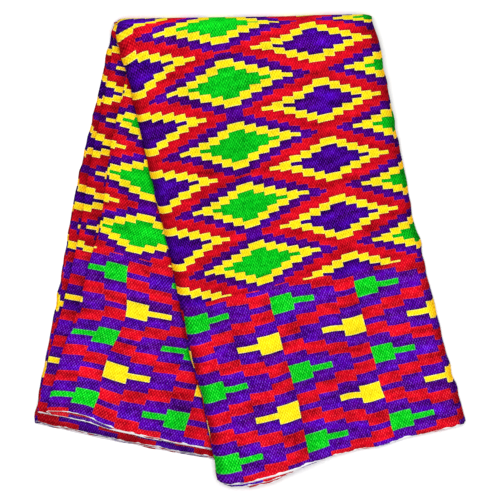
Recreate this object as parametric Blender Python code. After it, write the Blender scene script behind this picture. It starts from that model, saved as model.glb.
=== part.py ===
"""Folded kente cloth, in metres, +Z up.

One woven length is pleated back and forth into a strip of eight layers, with its outer cut end
tucked under. The strip is then folded in half over its top line, which runs slantwise across it,
so the front half leans to the right and the back half, underneath, leans to the left.

A section across the strip is a back-and-forth line of (across, depth) points. Across is counted
from the strip's left edge. Depth is counted from the face where the two halves meet, outwards.
The same section is carried from the front hem up to the top fold, round it, and down to the
back hem, and the sheet's two faces lie half a thickness to either side of it.
"""

import math
from collections import namedtuple

import bmesh
import bpy
from mathutils import Vector

MM = 0.001

SHEET = 1.0 * MM
LAYER_GAP = 0.36 * MM
HALVES_GAP = 0.6 * MM
PITCH = SHEET + LAYER_GAP
LAYERS = 8
STRIP_WIDTH = 333 * MM
TUCK_WIDTH = 75 * MM

# The top fold is pressed a little flat: its reach is this share of its half height.
FOLD_REACH = 0.85
FOLD_ANGLES = (30, 60, 90, 120, 150)

# Turns of a pleat, as angles round its middle.
PLEAT_ANGLES = (90, 30, -30, -90)

# The front half falls from the back half to the floor past the back half's right edge.
FALL_START = 30 * MM
FALL_WIDTH = 70 * MM

# The tucked end lifts what lies over it, between these two distances from the right edge.
TUCK_RISE = (115 * MM, 77 * MM)
TUCK_RISE_BELOW = (125 * MM, 85 * MM)

# Rows across the strip, from the top fold to the hem. Share is the row's place along the half,
# the points are the strip's two edges there, and second, third and fourth say how far each
# left-hand pleat lies inside the first one. All but the share are in millimetres.
Row = namedtuple("Row", "share left_x left_y right_x right_y second third fourth")

FRONT_ROWS = (
    Row(0.00, -181.9, 298.1, 160.0, 302.5, 1, 4, 8),
    Row(0.05, -173.9, 267.8, 169.3, 277.2, 2, 5, 8),
    Row(0.11, -162.3, 232.2, 175.1, 244.9, 2, 5, 9),
    Row(0.20, -149.7, 177.3, 184.9, 196.7, 2, 6, 10),
    Row(0.30, -135.4, 116.3, 195.7, 143.1, 3, 6, 10),
    Row(0.40, -121.3, 55.3, 207.2, 89.6, 3, 7, 11),
    Row(0.50, -105.9, -5.3, 216.8, 35.9, 3, 7, 11),
    Row(0.60, -93.6, -66.8, 230.0, -17.1, 3, 7, 12),
    Row(0.70, -81.9, -128.3, 243.6, -70.0, 3, 8, 12),
    Row(0.81, -64.0, -194.7, 257.5, -129.0, 2, 8, 12),
    Row(0.92, -50.0, -262.0, 274.5, -186.5, 2, 7, 11),
    Row(1.00, -41.3, -311.1, 285.4, -228.6, 2, 7, 11),
)

BACK_ROWS = (
    Row(0.00, -181.9, 298.1, 160.0, 302.5, 1, 4, 8),
    Row(0.05, -188.2, 269.0, 152.3, 272.9, 1, 6, 20),
    Row(0.11, -194.4, 238.5, 144.7, 237.4, 2, 8, 30),
    Row(0.20, -203.9, 191.4, 133.2, 184.2, 2, 10, 32),
    Row(0.30, -215.5, 139.1, 120.5, 125.0, 2, 11, 33),
    Row(0.40, -228.3, 87.1, 107.7, 65.8, 2, 13, 38),
    Row(0.50, -239.2, 34.7, 95.0, 6.6, 2, 15, 40),
    Row(0.60, -247.9, -18.1, 82.2, -52.6, 2, 13, 34),
    Row(0.70, -257.4, -70.7, 69.5, -111.8, 2, 10, 31),
    Row(0.81, -268.3, -129.0, 55.5, -177.5, 1, 5, 21),
    Row(0.92, -279.6, -186.0, 41.5, -243.0, 1, 3, 17),
    Row(1.00, -285.3, -228.6, 31.3, -290.6, 1, 2, 18),
)

# Columns along the strip, from left to right. The hems wave by these amounts: the front hem
# by front_wave, and the back half's top layer is drawn back by drawn and lifted by lifted.
Column = namedtuple("Column", "across front_wave drawn lifted")

COLUMNS = (
    Column(50, 1.0, 12, 6),
    Column(92, -1.0, 6, 3),
    Column(134, -4.0, 0, 0),
    Column(176, -4.0, 1, 0),
    Column(218, 0.5, 0, 0),
    Column(256, -2.0, 0, 0),
    Column(290, -0.5, 0, 0),
)

# One row for each layer, the tucked end first and then from the front face down: the pleat at
# its left end, how far its right end lies inside the edge, and how much longer than the plain
# hem line it is at each hem. In millimetres. The drawn share goes with the columns above.
Layer = namedtuple("Layer", "pleat right_in front_hem back_hem drawn_share")

LAYER_ROWS = (
    Layer(None, 0, -5, -5, 0),
    Layer("first", 0, 0, 0, 0),
    Layer("first", 9, -2, -2, 0),
    Layer("second", 9, 3, -4, 0),
    Layer("second", 12, -3, -3, 0),
    Layer("third", 12, -1, -7, 0),
    Layer("third", 11, -4, -8, 0),
    Layer("fourth", 11, -2, -12, 0.45),
    Layer("fourth", 14, -5, -14, 1),
)

# The hem of the outermost pleat is rounded off by this much at its corner.
CORNER_ROUND = 8 * MM

# Where the pile of layers stands loftier: middle, radius and added share of its height.
Loft = namedtuple("Loft", "x y radius share")

FRONT_LOFTS = (
    Loft(40, -20, 90, 0.10),
    Loft(-20, -230, 70, 0.16),
    Loft(200, -90, 80, 0.12),
)

BACK_LOFTS = (
    Loft(-225, -60, 45, 0.14),
    Loft(-230, -170, 45, 0.20),
)

# How far up from the hem its own unevenness reaches, as a share of the half's length.
HEM_REACH = 0.12

CLOTH_COLOUR = (0.085, 0.0, 0.36, 1.0)
CLOTH_ROUGHNESS = 0.85

# Faces that meet at a sharper angle than this, in degrees, show an edge.
EDGE_ANGLE = 40


def clear_scene():
    for item in list(bpy.data.objects):
        bpy.data.objects.remove(item, do_unlink=True)


def smooth(value):
    """0 below 0, 1 above 1 and a soft step between."""
    value = min(max(value, 0.0), 1.0)
    return value * value * (3 - 2 * value)


def straight(value):
    """0 below 0, 1 above 1 and a straight rise between."""
    return min(max(value, 0.0), 1.0)


def loft_at(lofts, x, y):
    """The share by which the pile is loftier at a place."""
    total = 0.0
    for loft in lofts:
        distance = math.hypot(x - loft.x * MM, y - loft.y * MM) / (loft.radius * MM)
        total += loft.share * smooth(1 - distance)
    return total


def tuck_rise(distance, span):
    """The share of a pitch by which the tucked end lifts the pile, at a distance from the edge."""
    outer, inner = span
    return straight((outer - distance) / (outer - inner))


def pile_of(layers):
    """The depth of a pile of so many layers, with the gaps between them."""
    return PITCH * layers - LAYER_GAP


def pile_depth(across):
    """The depth of the whole pile at one place across the strip."""
    return pile_of(LAYERS + tuck_rise(STRIP_WIDTH - across, TUCK_RISE))


def layer_depth(number, across):
    """The depth of a layer's middle: 0 is the tucked end, 1 the outermost layer."""
    if number == 0:
        return pile_of(LAYERS) - SHEET / 2
    if number == 1:
        return pile_depth(across) - SHEET / 2
    return pile_of(LAYERS - number + 1) - SHEET / 2


def pleat_inset(row, name):
    """How far a left-hand pleat lies inside the strip's left edge in this row."""
    return 0.0 if name == "first" else getattr(row, name) * MM


Point = namedtuple("Point", "across depth lean_across lean_depth hem_front hem_back lift")


def flat_point(number, across, column):
    """A point on a layer's middle, with the direction in which its patterned side faces."""
    layer = LAYER_ROWS[number]
    facing = 1 if number % 2 else -1
    front = layer.front_hem + column.front_wave
    back = layer.back_hem - column.drawn * layer.drawn_share
    lift = column.lifted * layer.drawn_share
    return Point(across, layer_depth(number, across), 0, facing, front * MM, back * MM, lift * MM)


def pleat_points(number, edge, side):
    """The turn that joins a layer to the next one, at the left (side -1) or the right (side 1).

    The tucked end turns up to the outermost layer, and each other layer turns down to the next.
    """
    here, there = LAYER_ROWS[number], LAYER_ROWS[number + 1]
    radius = PITCH / 2
    middle_across = edge - side * (radius + SHEET / 2)
    outer = layer_depth(number, middle_across)
    inner = layer_depth(number + 1, middle_across)
    middle_depth = (outer + inner) / 2
    direction = 1 if outer > inner else -1
    outside = 1 if side < 0 or number == 0 else -1
    round_off = CORNER_ROUND if side < 0 and number == 1 else 0.0
    front = (here.front_hem + there.front_hem) / 2 * MM - round_off
    back = (here.back_hem + there.back_hem) / 2 * MM
    turns = []
    for degrees in PLEAT_ANGLES:
        angle = math.radians(degrees)
        lean_across = side * math.cos(angle)
        lean_depth = direction * math.sin(angle)
        turns.append(
            Point(
                middle_across + radius * lean_across,
                middle_depth + radius * lean_depth,
                outside * lean_across,
                outside * lean_depth,
                front,
                back,
                0.0,
            )
        )
    return turns


def section_points(row):
    """The whole back-and-forth section of one row, from the tucked end to the innermost end."""
    points = []
    tuck_end = STRIP_WIDTH - TUCK_WIDTH
    end_columns = [column for column in COLUMNS if column.across * MM > tuck_end]
    points.append(flat_point(0, tuck_end, end_columns[0]))
    points += [flat_point(0, column.across * MM, column) for column in end_columns]
    points += pleat_points(0, STRIP_WIDTH, 1)
    for number in range(1, LAYERS + 1):
        leftward = number % 2 == 1
        columns = reversed(COLUMNS) if leftward else COLUMNS
        points += [flat_point(number, column.across * MM, column) for column in columns]
        if number == LAYERS:
            end = STRIP_WIDTH - LAYER_ROWS[number].right_in * MM
            points.append(flat_point(number, end, COLUMNS[-1]))
        elif leftward:
            inset = pleat_inset(row, LAYER_ROWS[number].pleat)
            points += pleat_points(number, inset, -1)
        else:
            edge = STRIP_WIDTH - LAYER_ROWS[number].right_in * MM
            points += pleat_points(number, edge, 1)
    return points


def row_ends(row):
    """The strip's two edges in this row, in plan."""
    left = Vector((row.left_x * MM, row.left_y * MM))
    right = Vector((row.right_x * MM, row.right_y * MM))
    return left, right


def plan_point(row, across):
    """The place in plan of a point across a row."""
    left, right = row_ends(row)
    return left + (right - left) * (across / STRIP_WIDTH)


def downward(rows):
    """The direction along a half of the strip towards its hem, in plan."""
    upper_left, upper_right = row_ends(rows[-2])
    lower_left, lower_right = row_ends(rows[-1])
    return ((lower_left + lower_right) - (upper_left + upper_right)).normalized()


def past_back_edge(place):
    """How far a place lies to the right of the back half's right edge, in plan."""
    start = row_ends(BACK_ROWS[0])[1]
    along = (row_ends(BACK_ROWS[-1])[1] - start).normalized()
    offset = place - start
    return along.x * offset.y - along.y * offset.x


def bed_height(place):
    """The height of what the front half lies on: the back half, and past its edge the floor."""
    past = past_back_edge(place)
    rise = tuck_rise(-past, TUCK_RISE_BELOW)
    pile = pile_of(LAYERS + rise) * (1 + loft_at(BACK_LOFTS, place.x, place.y))
    return (pile + HALVES_GAP) * (1 - smooth((past - FALL_START) / FALL_WIDTH))


def hem_share(row):
    """0 along most of a half and 1 at its hem."""
    return smooth((row.share - 1 + HEM_REACH) / HEM_REACH)


def front_place(row, point, offset):
    """A point of the front half: it lies on its bed, the innermost layer lowest."""
    across = point.across + point.lean_across * offset
    depth = point.depth + point.lean_depth * offset
    place = plan_point(row, across) + downward(FRONT_ROWS) * point.hem_front * hem_share(row)
    height = bed_height(place) + depth * (1 + loft_at(FRONT_LOFTS, place.x, place.y))
    return Vector((place.x, place.y, height))


def back_place(row, point, offset):
    """A point of the back half: the outermost layer lies flat on the floor."""
    across = point.across + point.lean_across * offset
    depth = point.depth + point.lean_depth * offset
    share = hem_share(row)
    place = plan_point(row, across) + downward(BACK_ROWS) * point.hem_back * share
    height = (pile_depth(across) - depth) * (1 + loft_at(BACK_LOFTS, place.x, place.y))
    return Vector((place.x, place.y, height + point.lift * share))


def fold_place(degrees, point, offset):
    """A point of the top fold, at an angle round it: 0 is the front half, 180 the back half."""
    across = point.across + point.lean_across * offset
    depth = point.depth + point.lean_depth * offset
    place = plan_point(FRONT_ROWS[0], across)
    top_of_back = pile_depth(across)
    bottom_of_front = bed_height(place)
    middle = (top_of_back + bottom_of_front) / 2
    radius = depth + (bottom_of_front - top_of_back) / 2
    angle = math.radians(degrees)
    height = middle + radius * math.cos(angle)
    return Vector((place.x, place.y + radius * math.sin(angle) * FOLD_REACH, height))


def sheet_rows(offset):
    """All rows of one face of the sheet, from the front hem over the top fold to the back hem."""
    rows = []
    for row in reversed(FRONT_ROWS):
        rows.append([front_place(row, point, offset) for point in section_points(row)])
    for degrees in FOLD_ANGLES:
        points = section_points(FRONT_ROWS[0])
        rows.append([fold_place(degrees, point, offset) for point in points])
    for row in BACK_ROWS:
        rows.append([back_place(row, point, offset) for point in section_points(row)])
    return rows


def centre_in_plan(faces):
    """Moves both faces so that their common box is centred on the vertical axis."""
    places = [place for rows in faces for row in rows for place in row]
    middle_x = (min(p.x for p in places) + max(p.x for p in places)) / 2
    middle_y = (min(p.y for p in places) + max(p.y for p in places)) / 2
    for place in places:
        place.x -= middle_x
        place.y -= middle_y


def add_strip(mesh, first, second):
    """Faces between two equally long rows of corners."""
    for here in range(len(first) - 1):
        corners = (first[here], first[here + 1], second[here + 1], second[here])
        mesh.faces.new(corners)


def make_cloth():
    """The sheet: its patterned face, its wrong side, and the narrow edge all round."""
    faces = (sheet_rows(SHEET / 2), sheet_rows(-SHEET / 2))
    centre_in_plan(faces)
    mesh = bmesh.new()
    right_side, wrong_side = (
        [[mesh.verts.new(place) for place in row] for row in rows] for rows in faces
    )
    for rows in (right_side, wrong_side):
        for upper, lower in zip(rows, rows[1:]):
            add_strip(mesh, upper, lower)
    for end in (0, -1):
        add_strip(mesh, right_side[end], wrong_side[end])
        add_strip(mesh, [row[end] for row in right_side], [row[end] for row in wrong_side])
    bmesh.ops.recalc_face_normals(mesh, faces=mesh.faces)
    bmesh.ops.triangulate(mesh, faces=mesh.faces)
    data = bpy.data.meshes.new("kente_cloth")
    mesh.to_mesh(data)
    mesh.free()
    return data


def cloth_material():
    material = bpy.data.materials.new("woven_cloth")
    material.use_nodes = True
    shader = material.node_tree.nodes["Principled BSDF"]
    shader.inputs["Base Color"].default_value = CLOTH_COLOUR
    shader.inputs["Roughness"].default_value = CLOTH_ROUGHNESS
    shader.inputs["Metallic"].default_value = 0.0
    return material


def build():
    clear_scene()
    data = make_cloth()
    data.materials.append(cloth_material())
    data.shade_smooth()
    data.set_sharp_from_angle(angle=math.radians(EDGE_ANGLE))
    cloth = bpy.data.objects.new("kente_cloth", data)
    bpy.context.scene.collection.objects.link(cloth)


build()
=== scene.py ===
"""Folded kente cloth: one woven length, pleated into a strip and folded in half on a pale floor."""

import math
from collections import namedtuple
from functools import partial

import bmesh
import bpy
import numpy as np
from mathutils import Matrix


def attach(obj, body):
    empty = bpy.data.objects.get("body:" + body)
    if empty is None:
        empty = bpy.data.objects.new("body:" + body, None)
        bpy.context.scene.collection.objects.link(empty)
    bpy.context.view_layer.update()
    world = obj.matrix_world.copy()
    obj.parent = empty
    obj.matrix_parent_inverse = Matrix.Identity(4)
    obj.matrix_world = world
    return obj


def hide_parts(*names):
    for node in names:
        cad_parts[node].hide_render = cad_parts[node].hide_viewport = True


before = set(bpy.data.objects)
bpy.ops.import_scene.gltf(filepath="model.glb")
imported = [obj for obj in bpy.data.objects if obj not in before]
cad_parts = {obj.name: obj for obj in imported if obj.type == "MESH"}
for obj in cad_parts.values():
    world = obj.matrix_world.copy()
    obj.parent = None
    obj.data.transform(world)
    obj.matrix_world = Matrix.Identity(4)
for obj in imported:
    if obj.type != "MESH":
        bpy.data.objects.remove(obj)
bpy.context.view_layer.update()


# The cloth, its folds
# One crisp woven length, half a millimetre thick. It is pleated back and forth into eight layers,
# its outer cut end is tucked under, and the strip is then folded in half over its top line.

MM = 0.001
THICKNESS = 0.5 * MM
PITCH = 1.36 * MM
LAYERS = 8
STRIP_WIDTH = 333 * MM
TUCK_WIDTH = 75 * MM
HALVES_GAP = 0.6 * MM
FOLD_REACH = 0.85

# The strip's two edges in plan, from the top fold (share 0) to the hem (share 1), and how far the
# second, third and fourth left-hand pleats lie inside the first one. All in millimetres.
Row = namedtuple("Row", "share left_x left_y right_x right_y second third fourth")

FRONT_ROWS = (
    Row(0.00, -175.2, 298.1, 160.0, 302.5, -4.5, -4, -3),
    Row(0.025, -177.2, 283.0, 165.0, 290.0, -5.5, -5, -3),
    Row(0.05, -173.9, 267.8, 169.3, 277.2, 2, 5, 8),
    Row(0.11, -162.3, 232.2, 175.1, 244.9, 2, 5, 9),
    Row(0.20, -149.7, 177.3, 184.9, 196.7, 2, 6, 10),
    Row(0.30, -135.4, 116.3, 195.7, 143.1, 3, 6, 10),
    Row(0.40, -121.3, 55.3, 207.2, 89.6, 3, 7, 11),
    Row(0.50, -105.9, -5.3, 216.8, 35.9, 3, 7, 11),
    Row(0.55, -99.8, -36.0, 225.6, 10.5, 3, 7, 11),
    Row(0.60, -93.6, -66.8, 230.0, -17.1, 3, 7, 12),
    Row(0.70, -81.9, -128.3, 243.6, -70.0, 3, 8, 12),
    Row(0.81, -64.0, -194.7, 257.5, -129.0, 2, 8, 16),
    Row(0.92, -50.0, -262.0, 274.5, -186.5, 2, 7, 27),
    Row(1.00, -41.3, -311.1, 285.4, -228.6, 2, 7, 36),
)

BACK_ROWS = (
    Row(0.00, -175.2, 298.1, 160.0, 302.5, -4.5, -4, -3),
    Row(0.025, -182.2, 283.0, 156.0, 287.5, -3, 1, 6),
    Row(0.05, -188.2, 269.0, 152.3, 272.9, 1, 6, 20),
    Row(0.11, -194.4, 238.5, 144.7, 237.4, 2, 8, 30),
    Row(0.20, -205.2, 191.4, 133.2, 184.2, 2, 10, 32),
    Row(0.30, -217.8, 139.1, 120.5, 125.0, 2, 11, 33),
    Row(0.40, -229.6, 87.1, 107.7, 65.8, 2, 13, 38),
    Row(0.50, -239.2, 34.7, 95.0, 6.6, 2, 15, 40),
    Row(0.60, -247.9, -18.1, 82.2, -52.6, 2, 13, 34),
    Row(0.70, -257.4, -70.7, 69.5, -111.8, 2, 10, 31),
    Row(0.81, -268.3, -129.0, 55.5, -177.5, 1, 5, 21),
    Row(0.92, -279.6, -186.0, 41.5, -243.0, 1, 3, 17),
    Row(1.00, -286.2, -228.6, 31.3, -290.6, 1, 2, 14),
)

# Each layer from the tucked end inwards: the pleat at its left end, how far its right end lies
# inside the edge, how much longer than the plain hem line it is at each hem, and how far it takes
# part in the drawn-back, arched place of the back hem. In millimetres, but for the share.
Layer = namedtuple("Layer", "pleat right_in front_hem back_hem drawn_share")

LAYER_ROWS = (
    Layer("first", 0, -5, -5, 0),
    Layer("first", 0, 0, 0, 0),
    Layer("first", 9, -2, -1.8, 0),
    Layer("second", 9, 1, -5, 0),
    Layer("second", 12, -3, -3.5, 0),
    Layer("third", 12, -1, -14, 0.45),
    Layer("third", 11, -4, -13.5, 0.45),
    Layer("fourth", 11, -2, -13, 0.45),
    Layer("fourth", 14, -5, -14, 1),
)

# The waves of the hems, by the distance from the strip's left edge. In millimetres.
FRONT_PLACES = (0, 28, 50, 75, 100, 123, 145, 176, 218, 256, 290, 333)
FRONT_WAVE = (1, 2.9, 3.6, 3.8, 2.7, 0, -2, -2.7, 0.5, -2, -0.5, -0.5)
FRONT_PEEK = (10, 12, 14, 12.5, 7.5, 4, 4, 4, 4, 4, 4, 4)
BACK_PLACES = (0, 50, 72, 92, 134, 176, 218, 256, 333)
BACK_WAVE = (0.5, 1.4, 2, 2.6, 3, 2.8, 2.2, 1.5, 0.5)
BACK_DRAWN = (5, 10.5, 9.3, 3.2, -0.9, -2, -2, -0.5, 0)
BACK_LIFTED = (1, 6, 5, 2.5, 0, 0, 0, 0, 0)
HEM_REACH = 0.12
CORNER_ROUND = 9.5 * MM
CORNER_WIDTH = 23 * MM
RUFFLE = 1.0 * MM
RUFFLE_LENGTHS = (11 * MM, 6.1 * MM, 47 * MM)

# The folded edges wave a little in plan, to this distance from them: two waves and the slow one that
# they swell with, in radians on the way to the hem.
EDGE_WAVE = 1.5 * MM
EDGE_WAVE_WIDTH = 24 * MM
EDGE_TURNS = (124, 83, 19)

# The front half's edges droop over its inner pleats, which are set back.
LEFT_DROOP = 7.2 * MM
LEFT_DROOP_BEND = 2.2
LEFT_DROOP_LEAST = 8 * MM
RIGHT_DROOP = 6.5 * MM
RIGHT_DROOP_WIDTH = 10 * MM

# The front half falls to the floor past the back half's right edge, and the tucked end lifts what
# lies over it, between these two distances from the right edge.
FALL_START = 30 * MM
FALL_WIDTH = 70 * MM
TUCK_RISE = (100 * MM, 72 * MM)
TUCK_RISE_BELOW = (125 * MM, 85 * MM)

# Places where the pile stands loftier, in millimetres, with the added share of its height.
Loft = namedtuple("Loft", "x y radius share")
FRONT_LOFTS = (Loft(40, -20, 90, 0.10), Loft(-20, -230, 70, 0.16), Loft(200, -90, 80, 0.12))
BACK_LOFTS = (Loft(-225, -60, 45, 0.14), Loft(-230, -170, 45, 0.20))

# Soft creases of the two upper faces: a line in plan, its width and its height, below 0 for a
# trough. In millimetres.
Crease = namedtuple("Crease", "x1 y1 x2 y2 width height")
FRONT_CREASES = (
    Crease(133, 96, 154, -73, 7, 0.9),
    Crease(-61, 79, -53, 27, 5, -0.7),
    Crease(48, -153, 80, -267, 8, -1.1),
    Crease(137, -40, 145, -90, 5, -0.8),
)
BACK_CREASES = (
    Crease(-232, -105, -215, -196, 9, 1.0),
    Crease(-183, 22, -128, 41, 5, -1.1),
    Crease(-180, 11, -128, 29, 5, 1.0),
    Crease(-186, 52, -148, 58, 4, -1.2),
    Crease(-232, -89, -198, -73, 4, -1.0),
    Crease(-255, -173, -219, -157, 4, -1.0),
    Crease(-185, -178, -132, -192, 5, -0.9),
    Crease(-205, -120, -190, -60, 6, -0.7),
)


def smooth_step(value):
    """0 below 0, 1 above 1 and a soft step between."""
    value = np.clip(value, 0.0, 1.0)
    return value * value * (3 - 2 * value)


def smooth_line(where, places, values):
    """Reads a smooth line through the values that are given at the places."""
    places = np.array(places, float)
    values = np.array(values, float)
    slopes = np.gradient(values, places)
    index = np.clip(np.searchsorted(places, where) - 1, 0, len(places) - 2)
    width = places[index + 1] - places[index]
    t = (where - places[index]) / width
    start = values[index] * (1 + 2 * t) * (1 - t) ** 2 + slopes[index] * width * t * (1 - t) ** 2
    end = values[index + 1] * t * t * (3 - 2 * t) + slopes[index + 1] * width * t * t * (t - 1)
    return start + end


def column(rows, name, share):
    """One column of a table of rows, in metres, at each station's share."""
    return MM * smooth_line(share, [row.share for row in rows], [getattr(row, name) for row in rows])


def edge_waves(share, turn):
    """Small uneven waves of a folded edge, from -1 to 1, by the share of the way to the hem."""
    quick, slower, slow = EDGE_TURNS
    waves = np.sin(share * quick + turn) + np.sin(share * slower - 0.7 * turn)
    return waves * (0.6 + 0.4 * np.sin(share * slow + 0.3 * turn)) / 2


def in_plan(rows, share, across):
    """The places in plan of the grid's points: one row for each station, one column for each line."""
    names = ("left_x", "left_y", "right_x", "right_y")
    left_x, left_y, right_x, right_y = (column(rows, name, share)[:, None] for name in names)
    part = across / STRIP_WIDTH
    wave = 0
    for turn, inward in ((rows[-1].left_x, across), (rows[-1].right_x, STRIP_WIDTH - across)):
        waves = EDGE_WAVE * edge_waves(share, turn)[:, None]
        wave = wave + waves * np.clip(1 - inward / EDGE_WAVE_WIDTH, 0, 1) ** 2
    return left_x + (right_x - left_x) * part + wave, left_y + (right_y - left_y) * part


def hemward(rows):
    """The direction along a half of the strip towards its hem, in plan."""
    above, hem = rows[-2], rows[-1]
    x = hem.left_x + hem.right_x - above.left_x - above.right_x
    y = hem.left_y + hem.right_y - above.left_y - above.right_y
    return x / math.hypot(x, y), y / math.hypot(x, y)


def rise_of(distance, span):
    """How far, as a share of a pitch, the tucked end lifts the pile at a distance from the edge."""
    outer, inner = span
    return smooth_step((outer - distance) / (outer - inner))


def lofts_at(lofts, x, y):
    """The share by which the pile is loftier at each place."""
    total = np.zeros_like(x)
    for loft in lofts:
        distance = np.hypot(x - loft.x * MM, y - loft.y * MM) / (loft.radius * MM)
        total += loft.share * smooth_step(1 - distance)
    return total


def creases_at(creases, x, y):
    """The height that the soft creases add at each place."""
    total = np.zeros_like(x)
    for crease in creases:
        run_x = (crease.x2 - crease.x1) * MM
        run_y = (crease.y2 - crease.y1) * MM
        length = math.hypot(run_x, run_y)
        from_x = x - crease.x1 * MM
        from_y = y - crease.y1 * MM
        along = (from_x * run_x + from_y * run_y) / length ** 2
        aside = (from_y * run_x - from_x * run_y) / length
        ends = smooth_step(0.5 + 2 * (0.5 - np.abs(along - 0.5)))
        total += crease.height * MM * ends * np.exp(-((aside / (crease.width * MM)) ** 2))
    return total


def past_back_edge(x, y):
    """How far each place lies to the right of the back half's right edge, in plan."""
    top, hem = BACK_ROWS[0], BACK_ROWS[-1]
    run_x = hem.right_x - top.right_x
    run_y = hem.right_y - top.right_y
    length = math.hypot(run_x, run_y)
    return (run_x * (y - top.right_y * MM) - run_y * (x - top.right_x * MM)) / length


def pile_height(rise):
    """The height of the pile of eight layers, with the tucked end's share of a pitch."""
    return PITCH * (LAYERS - 1 + rise) + THICKNESS


def bed_height(x, y):
    """The height of what the front half lies on: the back half, and past its edge the floor."""
    past = past_back_edge(x, y)
    pile = pile_height(rise_of(-past, TUCK_RISE_BELOW)) * (1 + lofts_at(BACK_LOFTS, x, y))
    return (pile + HALVES_GAP) * (1 - smooth_step((past - FALL_START) / FALL_WIDTH))


# The grid's lengthwise lines. A flat one lies at a place from 0 to 1 across its layer. A turning
# one is at an angle round the pleat that joins its layer to the next, on the left or the right.
Line = namedtuple("Line", "layer place angle side")

SHOWN_LINES = 60
HIDDEN_LINES = 19
SHOWN_ANGLES = (90, 60, 30, 0, -30, -60, -90)
HIDDEN_ANGLES = (90, 45, 0, -45, -90)


def section_lines():
    """All lines in order, from the tucked end to the innermost cut end."""
    shown = [(index + 0.5) / SHOWN_LINES for index in range(SHOWN_LINES)]
    hidden = [(index + 0.5) / HIDDEN_LINES for index in range(HIDDEN_LINES)]
    lines = [Line(0, place, None, 0) for place in (0.0, *hidden)]
    lines += [Line(0, None, angle, 1) for angle in SHOWN_ANGLES]
    for number in range(1, LAYERS + 1):
        places = shown if number in (1, LAYERS) else hidden
        places = reversed(places) if number % 2 else places
        lines += [Line(number, place, None, 0) for place in places]
        if number == LAYERS:
            lines.append(Line(number, 1.0, None, 0))
        elif number % 2:
            lines += [Line(number, None, angle, -1) for angle in SHOWN_ANGLES]
        else:
            lines += [Line(number, None, angle, 1) for angle in HIDDEN_ANGLES]
    return lines


def layer_depth(number, across):
    """A layer's depth, counted outwards from the face where the strip's two halves meet."""
    if number == 0:
        return PITCH * (LAYERS - 1) + THICKNESS / 2 + 0 * across
    if number == 1:
        return PITCH * (LAYERS - 1 + rise_of(STRIP_WIDTH - across, TUCK_RISE)) + THICKNESS / 2
    return PITCH * (LAYERS - number) + THICKNESS / 2 + 0 * across


def section_place(line, insets):
    """Where a line runs in the section at each station: its place across, and its depth."""
    here = LAYER_ROWS[line.layer]
    radius = PITCH / 2
    if line.angle is None:
        start = insets[here.pleat] + radius
        end = STRIP_WIDTH - here.right_in * MM - radius
        if line.layer == 0:
            start = 0 * start + STRIP_WIDTH - TUCK_WIDTH
        across = start + (end - start) * line.place
        return across, layer_depth(line.layer, across)
    if line.side < 0:
        middle = insets[here.pleat] + radius
    else:
        middle = STRIP_WIDTH - here.right_in * MM - radius + 0 * insets["first"]
    outer = layer_depth(line.layer, middle)
    inner = layer_depth(line.layer + 1, middle)
    angle = math.radians(line.angle)
    across = middle + radius * line.side * math.cos(angle)
    return across, (outer + inner) / 2 + (outer - inner) / 2 * math.sin(angle)


def ruffles(across, number):
    """Small uneven waves of a hem, from -1 to 1, other ones for each numbered layer."""
    broad, fine, slow = RUFFLE_LENGTHS
    waves = np.sin(across / broad + 2.3 * number) + np.sin(across / fine + 1.1 * number)
    return waves * np.sin(across / slow + 0.9 * number) / 2


def at_places(across, places, values):
    """The value at each distance from the strip's left edge. Places are in millimetres."""
    return smooth_line(across / MM, places, values)


def hem_length(line, across, front):
    """How much further than the plain hem line a line reaches, at each station."""
    here = LAYER_ROWS[line.layer]
    there = here if line.angle is None else LAYER_ROWS[line.layer + 1]
    share = (here.drawn_share + there.drawn_share) / 2
    ruffle = RUFFLE * ruffles(across, line.layer + (0 if front else LAYERS))
    if front:
        own = (here.front_hem + there.front_hem) / 2 + at_places(across, FRONT_PLACES, FRONT_WAVE)
        own += share * at_places(across, FRONT_PLACES, FRONT_PEEK)
        corner = CORNER_ROUND * np.clip(1 - across / CORNER_WIDTH, 0, 1) ** 2
        return own * MM - corner + ruffle
    own = (here.back_hem + there.back_hem) / 2 - share * at_places(across, BACK_PLACES, BACK_DRAWN)
    own += (1 - share) * at_places(across, BACK_PLACES, BACK_WAVE)
    return own * MM + ruffle


LINES = section_lines()
FRONT_STATIONS = 74
BACK_STATIONS = 66
TOP_ANGLES = np.radians(np.arange(15, 180, 15))
EVEN_STATIONS = 0.4
HEM_CROWDING = 1.4


def section_grid(rows, share, front):
    """Across, depth and hem length of every line at every station of one half."""
    insets = {name: column(rows, name, share) for name in ("second", "third", "fourth")}
    insets["first"] = 0 * share
    places = [section_place(line, insets) for line in LINES]
    across = np.stack([place[0] for place in places], 1)
    depth = np.stack([place[1] for place in places], 1)
    hems = [hem_length(line, across[:, index], front) for index, line in enumerate(LINES)]
    return across, depth, np.stack(hems, 1)


def edge_droop(rows, share, across):
    """How far the front half's edges droop at each point."""
    left_width = np.maximum(column(rows, "fourth", share), LEFT_DROOP_LEAST)[:, None]
    left = LEFT_DROOP * np.clip(1 - across / left_width, 0, 1) ** LEFT_DROOP_BEND
    right = RIGHT_DROOP * np.clip(1 - (STRIP_WIDTH - across) / RIGHT_DROOP_WIDTH, 0, 1) ** 2
    return left + right


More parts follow.
